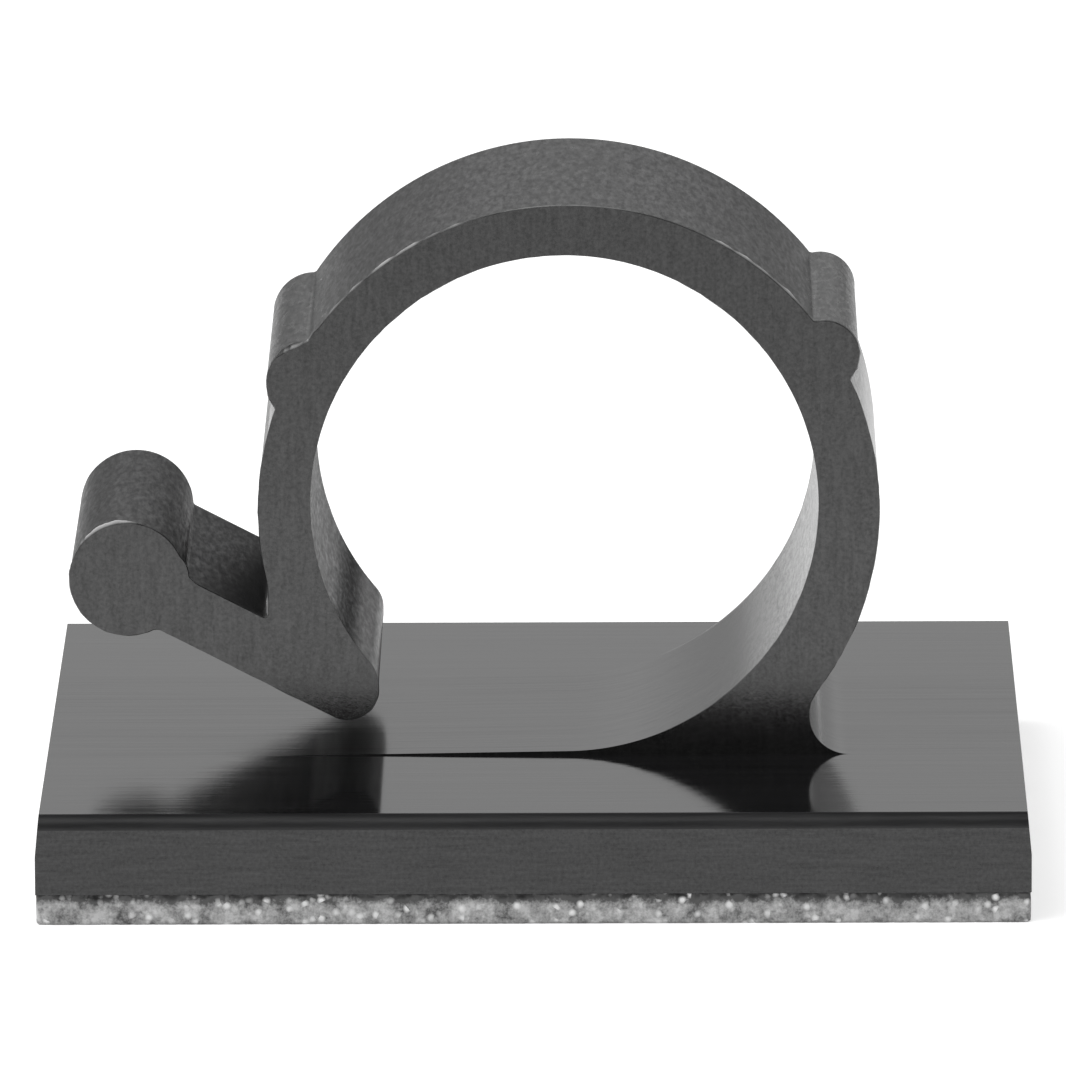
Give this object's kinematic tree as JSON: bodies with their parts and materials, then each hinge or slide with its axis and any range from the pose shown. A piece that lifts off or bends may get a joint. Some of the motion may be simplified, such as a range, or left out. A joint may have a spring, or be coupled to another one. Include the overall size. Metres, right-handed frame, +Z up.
{
  "type": "cable clip",
  "caption": "Self-adhesive cable clip: an open hoop with a sprung thumb arm stands on a flat base, with foam tape under it to stick it down.",
  "frame": {"origin": "middle of the underside of the foam tape, the face that sticks to a surface", "axes": "+X runs along the base from the thumb roll to the hoop's foot, +Y along the bore's axis, +Z up from the surface that the clip sticks to"},
  "size_m": [0.0254, 0.0218, 0.0173],
  "materials": {
    "clip_plastic": "black rigid vinyl, glossy as extruded and dull on its sawn ends",
    "tape_foam": "grey closed-cell foam, cut edge with open cells"
  },
  "bodies": {
    "root": {"clip_body": "clip_plastic", "foam_tape": "tape_foam"}
  },
  "joints": []
}
